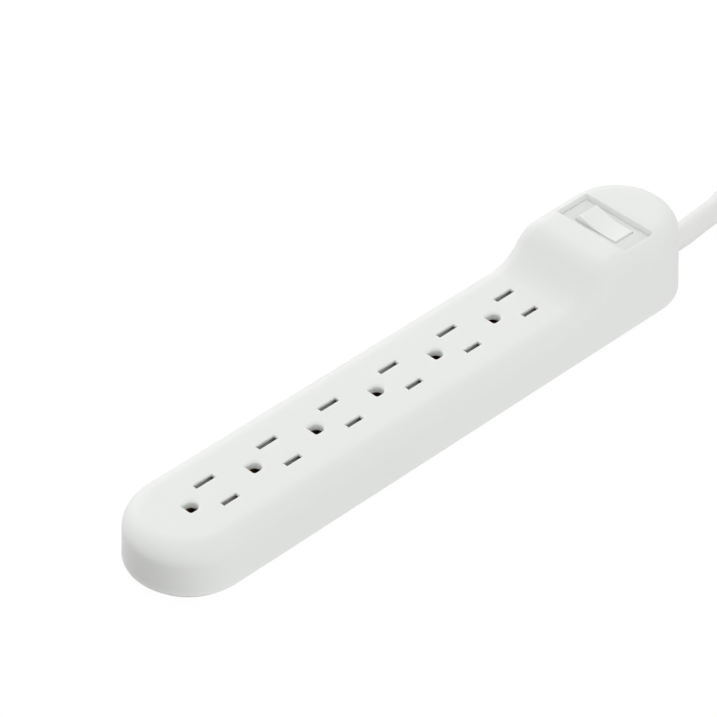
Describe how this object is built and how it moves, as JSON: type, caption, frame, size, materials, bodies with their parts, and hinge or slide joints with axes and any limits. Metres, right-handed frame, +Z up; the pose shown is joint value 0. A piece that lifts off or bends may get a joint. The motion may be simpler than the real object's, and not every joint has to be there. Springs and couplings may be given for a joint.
{
  "type": "power strip",
  "caption": "Long round-ended power strip: a low deck of grounded outlets in a row, a ramp to a raised hump with a rocker switch, and a corded plug.",
  "frame": {"origin": "middle of the strip's base, on the surface that it lies on", "axes": "+X along the strip to the cord end, +Y across it to the neutral slots' side, +Z up"},
  "size_m": [0.5555, 0.073, 0.0353],
  "materials": {
    "housing": "satin moulded white",
    "cover": "moulded white",
    "bezel": "satin moulded white",
    "rocker": "smooth white",
    "case_plastic": "moulded nylon",
    "screw_steel": "zinc-plated",
    "bar_metal": "tinned strip",
    "switch_brass": "stamped",
    "contact_silver": "silver alloy",
    "wire_black": "wire insulation",
    "wire_white": "wire insulation",
    "wire_green": "wire insulation",
    "cord": "soft white jacket",
    "tie": "white strap",
    "blade_metal": "nickel-plated"
  },
  "bodies": {
    "strip": {"top_housing": "housing", "bottom_cover": "cover", "housing_screws": "screw_steel", "hot_bus_bar": "bar_metal", "neutral_bus_bar": "bar_metal", "ground_bus_bar": "bar_metal", "switch_bezel": "bezel", "switch_case": "case_plastic", "line_terminal": "switch_brass", "load_terminal": "switch_brass", "fixed_contact": "contact_silver", "hot_lead": "wire_black", "hot_jumper": "wire_black", "neutral_lead": "wire_white", "ground_lead": "wire_green", "strain_relief": "cord", "cord_lead": "cord", "cord_hank": "cord", "cord_tail": "cord", "cord_tie": "tie", "plug_body": "cord", "plug_hot_blade": "blade_metal", "plug_neutral_blade": "blade_metal", "plug_ground_pin": "blade_metal"},
    "rocker_body": {"rocker": "rocker", "rocker_plunger": "case_plastic", "plunger_spring": "screw_steel"},
    "lever_body": {"contact_lever": "switch_brass", "lever_contact": "contact_silver"}
  },
  "joints": [
    {"name": "rocker_tip", "type": "hinge", "parent": "strip", "child": "rocker_body", "pos_m": [0.097, 0, 0.0285], "axis": [1, 0, 0], "range_deg": [-15, 0]},
    {"name": "lever_tip", "type": "hinge", "parent": "strip", "child": "lever_body", "pos_m": [0.097, 0, 0.01845], "axis": [1, 0, 0], "range_deg": [0, 15]}
  ],
  "couplings": [
    {"joint": "lever_tip", "follows": "rocker_tip", "ratio": -1}
  ]
}
